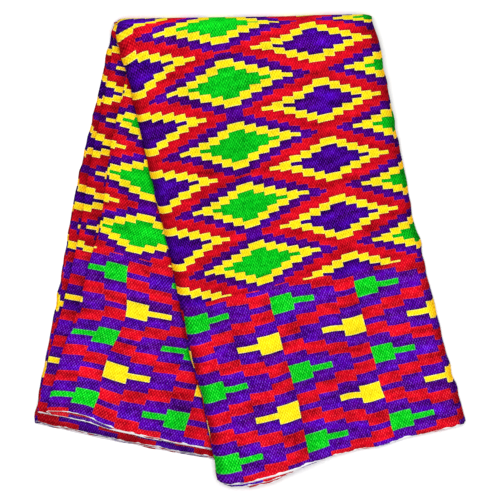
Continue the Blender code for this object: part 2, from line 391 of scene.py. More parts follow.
def half_places(rows, share, front):
    """The middle of the sheet over one half of the strip, as x, y and z of each grid point."""
    across, depth, hem = section_grid(rows, share, front)
    x, y = in_plan(rows, share, across)
    reach = smooth_step((share - 1 + HEM_REACH) / HEM_REACH)[:, None]
    down_x, down_y = hemward(rows)
    x = x + down_x * hem * reach
    y = y + down_y * hem * reach
    if front:
        own = depth * (1 + lofts_at(FRONT_LOFTS, x, y)) - edge_droop(rows, share, across)
        relief = creases_at(FRONT_CREASES, x, y) * depth / pile_height(0)
        return x, y, bed_height(x, y) + own + relief
    top = pile_height(rise_of(STRIP_WIDTH - across, TUCK_RISE))
    own = (top - depth) * (1 + lofts_at(BACK_LOFTS, x, y))
    relief = creases_at(BACK_CREASES, x, y) * (1 - depth / pile_height(0))
    lifted = at_places(across, BACK_PLACES, BACK_LIFTED) * MM
    taking_part = np.array([LAYER_ROWS[line.layer].drawn_share for line in LINES])
    return x, y, own + relief + lifted * taking_part * reach


def top_places():
    """The middle of the sheet round the top fold."""
    share = np.zeros(len(TOP_ANGLES))
    across, depth, _ = section_grid(FRONT_ROWS, share, True)
    x, y = in_plan(FRONT_ROWS, share, across)
    angle = TOP_ANGLES[:, None]
    drooped = depth - edge_droop(FRONT_ROWS, share, across) * np.cos(angle / 2) ** 2
    top_of_back = pile_height(rise_of(STRIP_WIDTH - across, TUCK_RISE))
    under_front = bed_height(x, y)
    radius = drooped + (under_front - top_of_back) / 2
    z = (top_of_back + under_front) / 2 + radius * np.cos(angle)
    return x, y + radius * np.sin(angle) * FOLD_REACH, z


def station_shares(count):
    """The stations of one half from the top fold to the hem, closer together towards the hem."""
    part = np.linspace(1, 0, count)
    return 1 - EVEN_STATIONS * part - (1 - EVEN_STATIONS) * part ** HEM_CROWDING


front_share = station_shares(FRONT_STATIONS)[::-1]
back_share = station_shares(BACK_STATIONS)
parts = (
    half_places(FRONT_ROWS, front_share, True),
    top_places(),
    half_places(BACK_ROWS, back_share, False),
)
middle = np.stack([np.concatenate([part[axis] for part in parts]) for axis in range(3)], -1)


def running_sum(steps, axis):
    """The sum of the steps up to each place, from 0 at the first one."""
    return np.insert(np.cumsum(steps, axis=axis), 0, 0, axis=axis)


def along_lines(places):
    """The running length along each line, from its first station."""
    return running_sum(np.linalg.norm(np.diff(places, axis=0), axis=2), 0)


def faces_outward(places):
    """The direction in which the patterned side faces, at each grid point."""
    along = np.gradient(places, axis=0)
    across = np.gradient(places, axis=1)
    outward = np.cross(along, across)
    return outward / np.linalg.norm(outward, axis=2, keepdims=True)


# How the weave lies on the folds. The pattern runs over the whole sheet: weave_x across the pleats
# from the first left-hand one, weave_y from the front selvage to the back one, which lies at
# WEAVE_WIDTH. The back half takes it up a little faster. In metres.
WEAVE_WIDTH = 1.279
BACK_LENGTHS = (0.0, 0.240, 0.449, 0.514, 0.537, 0.607)
BACK_WEAVE = (0.0, 0.240, 0.4775, 0.5585, 0.5864, 0.6658)
BORDER_HEIGHT = 0.238

# How far the weave is drawn askew, in millimetres, by the height above the half's own hem, with one
# column for each place in weave_x. A positive value brings on a later part of the weave.
HEIGHTS = (0, 120, 240, 360, 480, 540, 600)
FRONT_ACROSS = (0, 14, 50, 110, 220, 333)
FRONT_DRAWN_X = (
    (1.7, 0.0, -1.4, -10.1, -7.9, -5.3, -1.2),
    (-1.8, -0.5, -4.4, -5.2, -6.1, -6.3, -7.5),
    (-3.3, -3.7, -2.5, -6.6, -8.1, -8.2, -10.2),
    (-5.7, -6.7, -1.6, -1.2, -9.2, -11.0, -15.6),
    (-4.9, -3.4, -2.7, -5.2, -15.0, -16.6, -12.0),
    (-4.9, -3.7, -1.9, -2.8, -10.5, -12.3, -10.8),
)
FRONT_DRAWN_Y = (
    (4.7, 3.9, 0.5, 5.0, 10.7, 14.8, 16.1),
    (1.5, -2.4, -2.1, -0.5, 4.6, 7.0, 4.0),
    (-1.8, -5.1, -7.3, -5.0, -2.6, -2.7, -2.9),
    (0.3, -0.9, -1.6, 4.7, 4.8, 2.1, 0.4),
    (1.4, 2.0, 4.9, 10.3, 14.8, 15.1, 29.7),
    (0.0, 7.4, 11.1, 23.0, 28.8, 34.2, 48.6),
)
BACK_ACROSS = (-2140, -1870, -1290, -650, 0)
BACK_DRAWN_X = (
    (26, 10, -30, -29, -5, 2, 8),
    (7, -12, -46, -37, -17, -7, 4),
    (-126, -135, -142, -138, -136, -133, -130),
    (-70, -71, -72, -70, -66, -65, -64),
    (2, 0, -14, -14, -14, -11, -8),
)
BACK_DRAWN_Y = (
    (1, 9, -4, 0, -9, -7, -3),
    (-2, -3, 0, 0, 0, -1, -3),
    (-1, 4, -1.5, -1.5, 0, 2, 4),
    (0, -4.5, -6, 1, 1.5, 2.5, 4),
    (0, -3, -5, 0, 2, 1, 0),
)
FRONT_FADE = 60 * MM
BACK_FADE = 100 * MM

# Round the top fold the weave runs ahead: its share is that of the turn, to this power.
TOP_LEAD = 0.55


def drawn_columns(columns, height):
    """How far the weave is drawn askew at each height, for every column of a table."""
    height = np.clip(height, 0, HEIGHTS[-1] * MM)
    return [MM * smooth_line(height, [MM * value for value in HEIGHTS], column) for column in columns]


def drawn_on_front(columns, x, height):
    """The weave's drift on the front face, a cubic between the columns."""
    values = drawn_columns(columns, height)
    places = np.array(FRONT_ACROSS) * MM
    x = np.clip(x, places[0], places[-1])
    total = np.zeros_like(x)
    for number, one in enumerate(np.eye(len(places))):
        total += values[number] * smooth_line(x, places, one)
    return total


def drawn_on_back(columns, x, height):
    """The weave's drift on the back half, with a soft step from one column to the next."""
    values = drawn_columns(columns, height)
    places = np.array(BACK_ACROSS) * MM
    total = values[0]
    for number in range(1, len(places)):
        part = (x - places[number - 1]) / (places[number] - places[number - 1])
        total = total + (values[number] - values[number - 1]) * smooth_step(part)
    return total


def running_section():
    """The running length of the section at every grid point, counted from the first pleat."""
    grids = [
        section_grid(FRONT_ROWS, front_share, True),
        section_grid(FRONT_ROWS, np.zeros(len(TOP_ANGLES)), True),
        section_grid(BACK_ROWS, back_share, False),
    ]
    across = np.concatenate([grid[0] for grid in grids])
    depth = np.concatenate([grid[1] for grid in grids])
    running = running_sum(np.hypot(np.diff(across, axis=1), np.diff(depth, axis=1)), 1)
    first_pleat = LINES.index(Line(1, None, 0, -1))
    return running[:, first_pleat:first_pleat + 1] - running, across


def back_weave(running, x, across):
    """weave_y on the back half, and the height above its hem."""
    from_top = running[-BACK_STATIONS:] - running[-BACK_STATIONS]
    own_length = from_top[-1]
    share = across[-1] / STRIP_WIDTH
    plain_length = BACK_LENGTHS[-2] + (BACK_LENGTHS[-1] - BACK_LENGTHS[-2]) * share
    from_hem = own_length - from_top
    missing = plain_length - own_length
    border = BORDER_HEIGHT * from_hem / (BORDER_HEIGHT - missing)
    field = np.interp(from_hem + missing, BACK_LENGTHS, BACK_WEAVE)
    place = np.where(from_hem + missing < BORDER_HEIGHT, border, field)
    return WEAVE_WIDTH - place + drawn_on_back(BACK_DRAWN_Y, x, place), place


def weave_places():
    """weave_x and weave_y of every grid point."""
    running = along_lines(middle)
    x, across = running_section()
    front, back = slice(0, FRONT_STATIONS), slice(-BACK_STATIONS, None)
    height = running[front]
    shown = smooth_step((x[front] + FRONT_FADE) / FRONT_FADE)
    front_y = height + shown * drawn_on_front(FRONT_DRAWN_Y, x[front], height)
    back_y, back_height = back_weave(running, x[back], across)

    # The underside of the back half runs on evenly from the front's upper edge.
    whole = running[-1] - running[FRONT_STATIONS - 1]
    part = (running[back] - running[FRONT_STATIONS - 1]) / whole
    even = front_y[-1] + (WEAVE_WIDTH - front_y[-1]) * part
    back_y += smooth_step(x[back] / BACK_FADE) * (even - back_y)

    tops = np.full_like(height, HEIGHTS[-1] * MM)
    hidden_x = drawn_on_back(BACK_DRAWN_X, x[front], tops)
    front_x = drawn_on_front(FRONT_DRAWN_X, x[front], height)
    front_x = x[front] + hidden_x + shown * (front_x - hidden_x)
    back_x = x[back] + drawn_on_back(BACK_DRAWN_X, x[back], back_height)

    turn = (np.arange(len(TOP_ANGLES)) + 1)[:, None] / (len(TOP_ANGLES) + 1)
    top_x = front_x[-1] + turn * (back_x[0] - front_x[-1])
    top_y = front_y[-1] + turn ** TOP_LEAD * (back_y[0] - front_y[-1])
    return np.concatenate([front_x, top_x, back_x]), np.concatenate([front_y, top_y, back_y]), across


weave_x, weave_y, weave_place = weave_places()
from_front_hem = along_lines(middle)
from_hem = np.minimum(from_front_hem, from_front_hem[-1] - from_front_hem)


# Less light reaches the folds, and the layers that others lie on. The shares of it that are kept.
LIGHT_BELOW = 0.97
LIGHT_UNDER_HEM = 0.95
LIGHT_AT_FRONT_FOLD = 0.5
LIGHT_AT_BACK_FOLD = 0.9
LIGHT_BESIDE_PLEAT = 0.55
FRONT_FOLD_SHADE = 6 * MM
BACK_FOLD_SHADE = 3 * MM
PLEAT_SHADE = 7 * MM
LIGHT_BESIDE_FRONT = 0.33
FRONT_SHADE = 3 * MM

# A crease's light follows its height, by this share for each millimetre.
CREASE_SHADE = 0.16

# Soft hollows and crests in the two shown faces, in millimetres, with the share of light they keep.
Patch = namedtuple("Patch", "x y width height share")
FRONT_PATCHES = (
    Patch(-139, 297, 38, 18, 1.50),
    Patch(-40, 305, 50, 16, 1.22),
    Patch(88, 282, 40, 20, 1.18),
    Patch(92, -157, 50, 62, 0.93),
    Patch(-47, 107, 24, 60, 0.80),
    Patch(-57, -52, 19, 36, 0.74),
    Patch(-10, 130, 13, 62, 0.90),
    Patch(197, 93, 40, 80, 0.87),
    Patch(145, -105, 10, 60, 0.84),
    Patch(70, -259, 9, 29, 0.85),
    Patch(-66, 285, 119, 29, 1.10),
    Patch(79, 278, 53, 26, 1.08),
    Patch(-20, -276, 26, 33, 1.12),
)
BACK_PATCHES = (
    Patch(-214, 100, 24, 63, 0.80),
    Patch(-231, -65, 16, 26, 0.80),
    Patch(-192, 173, 19, 26, 0.85),
    Patch(-132, 21, 33, 16, 1.10),
    Patch(-251, -184, 16, 16, 1.10),
    Patch(-106, -90, 22, 55, 0.84),
    Patch(-80, -200, 24, 65, 0.80),
)


def light_left(share, far):
    """The light that is left at a distance from a place where only this share of it arrives."""
    return 1 - (1 - share) * np.exp(-(far ** 2))


def fold_light(across, flat, least, reach):
    """The light that one layer's two ends are left with."""
    ends = across[:, flat]
    inside = np.minimum(across - ends.min(1, keepdims=True), ends.max(1, keepdims=True) - across)
    return light_left(least, np.maximum(inside, 0) / reach)


def light_reaching():
    """The share of the light that reaches each grid point: all of it on the two shown faces."""
    layers = np.array([line.layer for line in LINES])
    flat = np.array([line.angle is None for line in LINES])
    light = np.ones(weave_place.shape)
    back = np.arange(len(light)) >= FRONT_STATIONS + len(TOP_ANGLES)
    for half, shown, least, reach in (
        (~back, 1, LIGHT_AT_FRONT_FOLD, FRONT_FOLD_SHADE),
        (back, LAYERS, LIGHT_AT_BACK_FOLD, BACK_FOLD_SHADE),
    ):
        for number in range(LAYERS + 1):
            own = np.flatnonzero(layers == number)
            place = weave_place[np.ix_(half, own)]
            light[np.ix_(half, own)] = fold_light(place, flat[own], least, reach)
        light[np.ix_(half, layers != shown)] *= LIGHT_BELOW

    # On the back half each pleat also keeps the light from the one that it lies on.
    for number in range(1, LAYERS - 1):
        own = np.flatnonzero(layers == number)
        above = LAYER_ROWS[number + number % 2 + 2].pleat
        fold = column(BACK_ROWS, above, back_share)[:, None]
        beside = np.maximum(fold - weave_place[np.ix_(back, own)], 0) / PLEAT_SHADE
        light[np.ix_(back, own)] *= light_left(LIGHT_BESIDE_PLEAT, beside)
    for half, share, shown in ((back, back_share, LAYERS), (slice(FRONT_STATIONS), front_share, 1)):
        at_hem = smooth_step((share - 1 + HEM_REACH) / HEM_REACH)[:, None] * (layers != shown)
        light[half] *= 1 - (1 - LIGHT_UNDER_HEM) * at_hem

    # The front half lies over the back one, and shades it along its own edge.
    x, y, _ = np.moveaxis(middle[back], -1, 0)
    edge = smooth_line(-y / MM, [-row.left_y for row in FRONT_ROWS], [row.left_x for row in FRONT_ROWS])
    beside = np.maximum(edge * MM - x, 0) / FRONT_SHADE
    light[back] *= light_left(LIGHT_BESIDE_FRONT, beside)
    for half, patches, creases in (
        (back, BACK_PATCHES, BACK_CREASES),
        (~back, FRONT_PATCHES, FRONT_CREASES),
    ):
        x, y, _ = np.moveaxis(middle[half], -1, 0)
        light[half] *= 1 + CREASE_SHADE * creases_at(creases, x, y) / MM
        for patch in patches:
            far = np.hypot((x / MM - patch.x) / patch.width, (y / MM - patch.y) / patch.height)
            light[half] *= light_left(patch.share, far)
    return light


# The sheet of paper that the finished colours are laid out on, when the cloth goes to other
# programs: how its width is shared out to the grid's lines, by layer, and its margins.
SHARES = {0: 0.02, 1: 0.45, 2: 0.03, 3: 0.02, 4: 0.04, 5: 0.02, 6: 0.05, 7: 0.02, 8: 0.30}
WRONG_SIDE_FROM = 0.953
MARGIN = 0.004
EDGE_BAND = MARGIN / 4


def laid_out():
    """The place of every grid point on the layout: its own share of the width, and its length."""
    layers = np.array([line.layer for line in LINES])
    steps = np.abs(np.diff(weave_x.mean(0)))
    width = np.zeros(len(LINES))
    for layer, share in SHARES.items():
        own = np.flatnonzero(layers[1:] == layer)
        width[own + 1] = share * steps[own] / steps[own].sum()
    across = np.cumsum(width) / width.sum()
    length = along_lines(middle).mean(1)
    return np.meshgrid(across, MARGIN + (1 - 2 * MARGIN) * length / length[-1])


def grid_quads(grid):
    """The four corners of every face of a grid."""
    return np.stack([grid[:-1, :-1], grid[1:, :-1], grid[1:, 1:], grid[:-1, 1:]], 2)


def edge_quads(near, far):
    """The four corners of every face along an edge of the sheet, between its two sides."""
    return np.stack([near[:-1], near[1:], far[1:], far[:-1]], 1)


def edge_layout(count, low, upright):
    """Where one edge's faces lie on the layout: in a narrow band of its own in the margin."""
    run = np.linspace(0, WRONG_SIDE_FROM - 2 * MARGIN, count)
    near, far = (np.stack([run, np.full(count, place)], -1) for place in (low, low + EDGE_BAND))
    corners = edge_quads(near, far)
    return corners[..., ::-1] if upright else corners


def cloth_mesh():
    """The sheet with its patterned side, its wrong side and its narrow edges."""
    outward = faces_outward(middle) * THICKNESS / 2
    stations, lines = weave_x.shape
    sides = np.stack([middle + outward, middle - outward])
    number = np.arange(sides[..., 0].size).reshape(sides.shape[:3])
    right, wrong = number
    across, length = laid_out()
    on_right = np.stack([across * (WRONG_SIDE_FROM - 3 * MARGIN), length], -1)
    on_wrong = np.stack([WRONG_SIDE_FROM + across * (1 - WRONG_SIDE_FROM - 2 * MARGIN), length], -1)
    quads = [
        grid_quads(right),
        grid_quads(wrong)[..., ::-1],
        edge_quads(right[0], wrong[0]),
        edge_quads(right[-1], wrong[-1])[..., ::-1],
        edge_quads(right[:, 0], wrong[:, 0])[..., ::-1],
        edge_quads(right[:, -1], wrong[:, -1]),
    ]
    layout = [
        grid_quads(on_right),
        grid_quads(on_wrong)[:, :, ::-1],
        edge_layout(lines, 0, False),
        edge_layout(lines, 1 - EDGE_BAND, False)[:, ::-1],
        edge_layout(stations, WRONG_SIDE_FROM - 2 * MARGIN, True)[:, ::-1],
        edge_layout(stations, WRONG_SIDE_FROM - MARGIN, True),
    ]
    faces = np.concatenate([quad.reshape(-1, 4) for quad in quads])
    data = bpy.data.meshes.new("kente_cloth_woven")
    data.from_pydata(sides.reshape(-1, 3).tolist(), [], faces.tolist())
    weave = np.stack([weave_x, weave_y], -1)
    weave = np.concatenate([weave.reshape(-1, 2)] * 2)[faces.ravel()]
    for name, places in (
        ("weave", weave),
        ("OFBake", np.concatenate([part.reshape(-1, 2) for part in layout])),
    ):
        data.uv_layers.new(name=name).uv.foreach_set("vector", places.astype(np.float32).ravel())
    for name, values in (
        ("wrong_side", np.repeat([0.0, 1.0], wrong.size)),
        ("light", np.tile(light_reaching().ravel(), 2)),
        ("from_hem", np.tile(from_hem.ravel(), 2)),
    ):
        attribute = data.attributes.new(name, "FLOAT", "POINT")
        attribute.data.foreach_set("value", values.astype(np.float32))
    data.shade_smooth()
    return data


cloth = bpy.data.objects.new("kente_cloth_woven", cloth_mesh())
bpy.context.scene.collection.objects.link(cloth)


# The cloth, its weave
# The pattern is woven in with coloured yarns over a white warp: rows of stepped diamonds in the
# middle, and at each selvage a border of stepped bands with small blocks on stems. The purple
# ground lies lowest, the red and then the green and yellow yarns stand a little proud of it.

# The middle's repeat of stepped diamonds: a heart, the ring round it and the band beyond. Each has
# its height in steps at the middle, and the distance that its thin tip reaches.
COLUMN_PITCH = 115.8 * MM
ROW_PITCH = 81 * MM
FIRST_COLUMN = 2 * MM
FIRST_ROW = 275 * MM
STEP_WIDTH = 13.85 * MM
STEP_HEIGHT = 5.92 * MM
MIDDLE_HALF = 11.2 * MM
TIP_HALF = 2.6 * MM
RED_LINE = 1.6 * MM
HEART = (3.3, 52.5 * MM)
RING = (5.0, 80 * MM)
BAND = (7.0, 102.5 * MM)

# The borders' rows are counted in units from the blocks' own row, and climb across each column.
BORDER_UNIT = 3.87 * MM
BLOCK_ROW = 7
BORDER_REPEAT = 24
BORDER_STEPS = 4.0
BORDER_CLIMB = 2.0
RED_ROWS = (7.0, 11.0)
YELLOW_FROM = 15.0
GREEN_TO = 3.0

# The selvage, wide for a stretch, and its unevenness: a slope, a start and the least share.
SELVAGE = 1.3 * MM
SELVAGE_UNEVEN = (6.0, -2.5, 0.3)
WIDE_SELVAGE = 1.7 * MM
WIDE_AT = 84 * MM
WIDE_HALF = 46 * MM

# The yarns, their teeth and ties, the size of their grain, and how fast the slow noises change.
WANDER_ACROSS = 5.2 * MM
WANDER_ALONG = 2.6 * MM
WANDER_SCALE = 30.0
YARN = 0.65 * MM
TOOTH = 0.4
EDGE_REACH = 0.85 * MM
SHADE_REACH = 11 * MM
SHADE_GRAIN = 0.35 * MM
TIE_ACROSS = 3.5 * MM
TIE_ALONG = 5.6 * MM
CROSS_TIES = 0.75
GRAIN_ACROSS = 1.6 * MM
GRAIN_ALONG = 1.8 * MM
GRAIN_DOTS = 2.4
GRAIN_TIES = 1.3
CLOUD_SCALE = 24.0
PATCH_SCALE = 75.0
STREAK_STRETCH = 3.5
STREAKS = 2.4
PATCHES = 1.2

# How the yarns differ: the value for purple, and what red, green and yellow add to it.
BRIGHTNESS = (0.12, 0.17, 0.37, 0.76)
GRAIN_DEPTH = (0.30, -0.13, -0.08, -0.19)
SLOW_DEPTH = (0.9, -0.15, -0.55, -0.7)
BORDER_LIFT = (0.27, -0.2, -0.12, -0.24)
DEEPER_BESIDE = (2.0, -1.2, -1.5)

# The purple's turn to blue, in all, in a diamond's heart and in the borders, and its heart's shade.
BLUE_CLOUDS = 1.1
BLUE_LESS = -0.7
HEART_BLUE = 0.3
BORDER_BLUE = 0.15
HEART_SHADE = -0.1

# The least light that is left, by the weave's grain and beside a brighter yarn. The painted shadow
# on a darker yarn at a colour's edge. How white the warp shows at the ties, and how much more of it
# in the borders. The painted highlight on the brighter side of a colour's edge.
LEAST_SHADE = 0.25
LEAST_BESIDE = 0.3
SUNK_SHADE = 0.7
TIE_WHITE = 0.008
BORDER_TIE_WHITE = 0.010
HIGHLIGHT_POWER = 1.6
HIGHLIGHT_WHITE = 0.05
HIGHLIGHT_DOTS = 0.6

# Red and yellow are uneven. Yellow turns to orange in the shade and darkens less. The wrong side
# is a little whiter and darker.
RED_UNEVEN = 0.6
YELLOW_UNEVEN = 0.5
ORANGE_TURN = (1.3, -0.22)
YELLOW_KEEPS = 0.85
WRONG_SIDE_WHITE = 0.01
WRONG_SIDE_SHADE = -0.1

CLOTH_ROUGHNESS = 0.85
CLOTH_SPECULAR = 0.02
BUMP_STRENGTH = 0.35
BUMP_HEIGHT = 0.25 * MM
BUMP_TIES = 0.3


def yarn_colour(*shade):
    """A colour as a screen shows it, 0 to 255, as the light that the yarn sends back."""
    parts = [value / 255 for value in shade]
    parts = [p / 12.92 if p <= 0.04045 else ((p + 0.055) / 1.055) ** 2.4 for p in parts]
    return (*parts, 1.0)


PURPLE_BLUE = yarn_colour(66, 0, 156)
PURPLE_WARM = yarn_colour(84, 0, 120)
RED = yarn_colour(208, 10, 32)
RED_DEEP = yarn_colour(177, 3, 15)
YELLOW = yarn_colour(242, 222, 22)
YELLOW_WARM = yarn_colour(240, 204, 6)
YELLOW_SHADED = yarn_colour(246, 138, 4)
GREEN = yarn_colour(4, 182, 24)
WHITE = yarn_colour(236, 230, 236)
WHITE_SHADED = yarn_colour(196, 186, 196)
RIM_WHITE = yarn_colour(252, 250, 252)


def new_node(tree, kind, sockets, **settings):
    """Adds a node with its settings, sets or links its sockets, and gives its results."""
    node = tree.nodes.new(kind)
    for name, value in settings.items():
        setattr(node, name, value)
    for name, value in sockets.items():
        if isinstance(value, (int, float, tuple)):
            node.inputs[name].default_value = value
        else:
            tree.links.new(value, node.inputs[name])
    return node.outputs


def new_sum(tree, operation, *values):
    """Adds one sum to a node tree and gives its result."""
    return new_node(tree, "ShaderNodeMath", dict(enumerate(values)), operation=operation)[0]


def step_count(calc, distance):
    """Which step of a diamond a distance from its column's middle falls on: 0 is the middle one."""
    beyond = calc("DIVIDE", calc("SUBTRACT", distance, MIDDLE_HALF), STEP_WIDTH)
    return calc("MAXIMUM", calc("CEIL", beyond), 0.0)


def inside(calc, outline, steps, distance, row):
    """1 inside a diamond's stepped outline, and inside the thin tip that it ends in."""
    height, reach = outline
    edge = calc("MULTIPLY", calc("SUBTRACT", height, steps), STEP_HEIGHT)
    tip = calc("MULTIPLY", calc("LESS_THAN", distance, reach), calc("LESS_THAN", row, TIP_HALF))
    return calc("MAXIMUM", calc("LESS_THAN", row, edge), tip)


def without(calc, share, cut):
    """A share where another one isn't."""
    return calc("MULTIPLY", share, calc("SUBTRACT", 1.0, cut))


def field_yarns(calc, x, y):
    """The middle of the cloth: where its red, yellow and green yarns show, and its purple hearts."""
    purple_column = calc("PINGPONG", calc("SUBTRACT", x, FIRST_COLUMN), COLUMN_PITCH)
    green_column = calc("SUBTRACT", COLUMN_PITCH, purple_column)
    from_first = calc("SUBTRACT", y, FIRST_ROW)
    green_row = calc("PINGPONG", from_first, ROW_PITCH / 2)
    purple_row = calc("SUBTRACT", ROW_PITCH / 2, green_row)
    green_steps = step_count(calc, green_column)
    green = (green_steps, green_column, green_row)
    purple = (step_count(calc, purple_column), purple_column, purple_row)

    odd_gap = calc("PINGPONG", calc("FLOOR", calc("DIVIDE", from_first, ROW_PITCH)), 1.0)
    line = calc("MULTIPLY", calc("LESS_THAN", green_steps, 0.5), calc("LESS_THAN", purple_row, RED_LINE))
    between = calc("SUBTRACT", 1.0, inside(calc, BAND, *green))
    red = calc("MAXIMUM", between, calc("MULTIPLY", line, odd_gap))
    ring = calc("MAXIMUM", *[inside(calc, RING, *diamond) for diamond in (green, purple)])
    hearts = [inside(calc, HEART, *diamond) for diamond in (green, purple)]
    yellow = without(calc, ring, calc("MAXIMUM", *hearts))
    return without(calc, red, ring), yellow, *hearts


def border_yarns(calc, x, from_selvage):
    """The borders: red bands climb by steps, and green and yellow blocks sit between them."""
    part = calc("FRACT", calc("DIVIDE", calc("SUBTRACT", x, FIRST_COLUMN), COLUMN_PITCH))
    climb = calc("MULTIPLY", calc("FLOOR", calc("MULTIPLY", part, BORDER_STEPS)), BORDER_CLIMB)
    units = calc("SUBTRACT", calc("DIVIDE", from_selvage, BORDER_UNIT), BLOCK_ROW)
    height = calc("ADD", calc("PINGPONG", units, BORDER_REPEAT / 2), climb)
    low, high = RED_ROWS
    red = calc("MULTIPLY", calc("GREATER_THAN", height, low), calc("LESS_THAN", height, high))
    return red, calc("GREATER_THAN", height, YELLOW_FROM), calc("LESS_THAN", height, GREEN_TO), 0.0


YARNS = ("Red", "Yellow", "Green", "Heart")


def to_selvage(calc, y):
    """The distance to the nearer selvage."""
    return calc("MINIMUM", y, calc("SUBTRACT", WEAVE_WIDTH, y))


def kente_pattern():
    """A node group with the share of each yarn. Purple is the rest, and a heart is purple too."""
    group = bpy.data.node_groups.new("kente_pattern", "ShaderNodeTree")
    for name in ("Across", "Along"):
        group.interface.new_socket(name, in_out="INPUT", socket_type="NodeSocketFloat")
    for name in YARNS:
        group.interface.new_socket(name, in_out="OUTPUT", socket_type="NodeSocketFloat")
    x, y, _ = group.nodes.new("NodeGroupInput").outputs
    end = group.nodes.new("NodeGroupOutput")
    calc = partial(new_sum, group)
    in_field = calc("GREATER_THAN", to_selvage(calc, y), BORDER_HEIGHT)
    pairs = zip(YARNS, field_yarns(calc, x, y), border_yarns(calc, x, to_selvage(calc, y)))
    for name, field, border in pairs:
        shown = calc("MULTIPLY_ADD", in_field, calc("SUBTRACT", field, border), border)
        group.links.new(shown, end.inputs[name])
    return group


def by_yarn(calc, yarns, values):
    """A value that differs with the yarn: purple's own, and what the other yarns add to it."""
    total = values[0]
    for name, value in zip(("Red", "Green", "Yellow"), values[1:]):
        total = calc("MULTIPLY_ADD", yarns[name], value, total)
    return total


def woven_material():
    """The woven brocade, drawn on the cloth's own weave coordinates."""
    material = bpy.data.materials.new("woven_brocade")
    material.use_nodes = True
    tree = material.node_tree
    add, calc = partial(new_node, tree), partial(new_sum, tree)
    weave = add("ShaderNodeUVMap", {}, uv_map="weave")[0]
    across, along, _ = add("ShaderNodeSeparateXYZ", {0: weave})
    pattern = kente_pattern()

    def attribute(name):
        return add("ShaderNodeAttribute", {}, attribute_name=name)["Fac"]

    def blend(share, under, over):
        sockets = {0: share, 6: under, 7: over}
        return add("ShaderNodeMix", sockets, data_type="RGBA", clamp_factor=True)[2]

    def noise(vector, scale):
        return add("ShaderNodeTexNoise", {"Vector": vector, "Scale": scale})

    def strewn(width, length):
        pairs = ((across, width), (along, length))
        cell = [calc("FLOOR", calc("DIVIDE", own, size)) for own, size in pairs]
        vector = add("ShaderNodeCombineXYZ", dict(enumerate(cell)))[0]
        return add("ShaderNodeTexWhiteNoise", {"Vector": vector}, noise_dimensions="2D")

    def yarns_at(x, y):
        return add("ShaderNodeGroup", {"Across": x, "Along": y}, node_tree=pattern)

    # Each yarn runs a little unevenly, and a colour ends in teeth, a twill yarn each.
    spread = add("ShaderNodeSeparateColor", {0: noise(weave, WANDER_SCALE)["Color"]})

    def uneven(own, other, part, most):
        toothed = calc("MULTIPLY_ADD", calc("PINGPONG", other, 2 * YARN), TOOTH, own)
        return calc("MULTIPLY_ADD", calc("SUBTRACT", part, 0.5), most, toothed)

    x = uneven(across, along, spread[0], WANDER_ACROSS)
    y = uneven(along, across, spread[1], WANDER_ALONG)
    here = yarns_at(x, y)
    own = by_yarn(calc, here, BRIGHTNESS)

    def difference(move_x, move_y):
        beside = yarns_at(calc("ADD", x, move_x), calc("ADD", y, move_y))
        return calc("SUBTRACT", own, by_yarn(calc, beside, BRIGHTNESS))

    # Where colours meet, the brighter yarn stands proud: its edge gets a painted highlight, and the
    # darker yarn beside it a painted shadow.
    proud = edge_shadow = 0.0
    for move in ((EDGE_REACH, 0.0), (-EDGE_REACH, 0.0), (0.0, EDGE_REACH), (0.0, -EDGE_REACH)):
        beside = difference(*move)
        proud = calc("MAXIMUM", beside, proud)
        edge_shadow = calc("MINIMUM", beside, edge_shadow)

    # A brighter colour makes the darker ones look deeper for some way around it.
    away = add("ShaderNodeSeparateColor", {0: strewn(SHADE_GRAIN, SHADE_GRAIN)["Color"]})
    turn = calc("MULTIPLY", away[0], math.tau)
    reach = calc("MULTIPLY", away[1], SHADE_REACH)
    moves = [calc("MULTIPLY", calc(wave, turn), reach) for wave in ("COSINE", "SINE")]
    back = [calc("MULTIPLY", move, -1.0) for move in moves]
    around = calc("ADD", difference(*moves), difference(*back))
    shaded = calc("MINIMUM", calc("MULTIPLY", around, 0.5), 0.0)

    # The ties that hold the floats down form a close lattice, stronger along the twill, and the
    # yarns themselves are uneven.
    over, up = calc("DIVIDE", across, TIE_ACROSS), calc("DIVIDE", along, TIE_ALONG)
    twill = calc("COSINE", calc("MULTIPLY", calc("SUBTRACT", over, up), math.tau))
    cross = calc("COSINE", calc("MULTIPLY", calc("ADD", over, up), math.tau))
    lattice = calc("MULTIPLY_ADD", cross, CROSS_TIES, twill)
    dot = strewn(GRAIN_ACROSS, GRAIN_ALONG)["Value"]
    grain = calc("MULTIPLY_ADD", calc("SUBTRACT", dot, 0.5), GRAIN_DOTS,
                 calc("MULTIPLY", lattice, GRAIN_TIES))
    stretched = {0: across, 1: calc("MULTIPLY", along, STREAK_STRETCH)}
    streaky = noise(add("ShaderNodeCombineXYZ", stretched)[0], CLOUD_SCALE)["Fac"]
    cloudy = noise(weave, CLOUD_SCALE)["Fac"]
    patchy = noise(weave, PATCH_SCALE)["Fac"]
    slow = calc("MULTIPLY_ADD", patchy, PATCHES, -(STREAKS + PATCHES) / 2)
    slow = calc("MULTIPLY_ADD", streaky, STREAKS, slow)

    in_border = calc("LESS_THAN", to_selvage(calc, y), BORDER_HEIGHT)
    light = attribute("light")
    dark = calc("SUBTRACT", 1.0, light)
    blue = calc("MULTIPLY_ADD", calc("ADD", streaky, cloudy), BLUE_CLOUDS, BLUE_LESS)
    blue = calc("MULTIPLY_ADD", here["Heart"], HEART_BLUE, blue)
    blue = calc("MULTIPLY_ADD", in_border, BORDER_BLUE, blue)
    red = blend(calc("MULTIPLY", patchy, RED_UNEVEN), RED, RED_DEEP)
    yellow = blend(calc("MULTIPLY", patchy, YELLOW_UNEVEN), YELLOW, YELLOW_WARM)
    yellow = blend(calc("MULTIPLY_ADD", dark, *ORANGE_TURN), yellow, YELLOW_SHADED)
    colour = blend(blue, PURPLE_WARM, PURPLE_BLUE)
    for name, own_colour in (("Red", red), ("Green", GREEN), ("Yellow", yellow)):
        colour = blend(here[name], colour, own_colour)
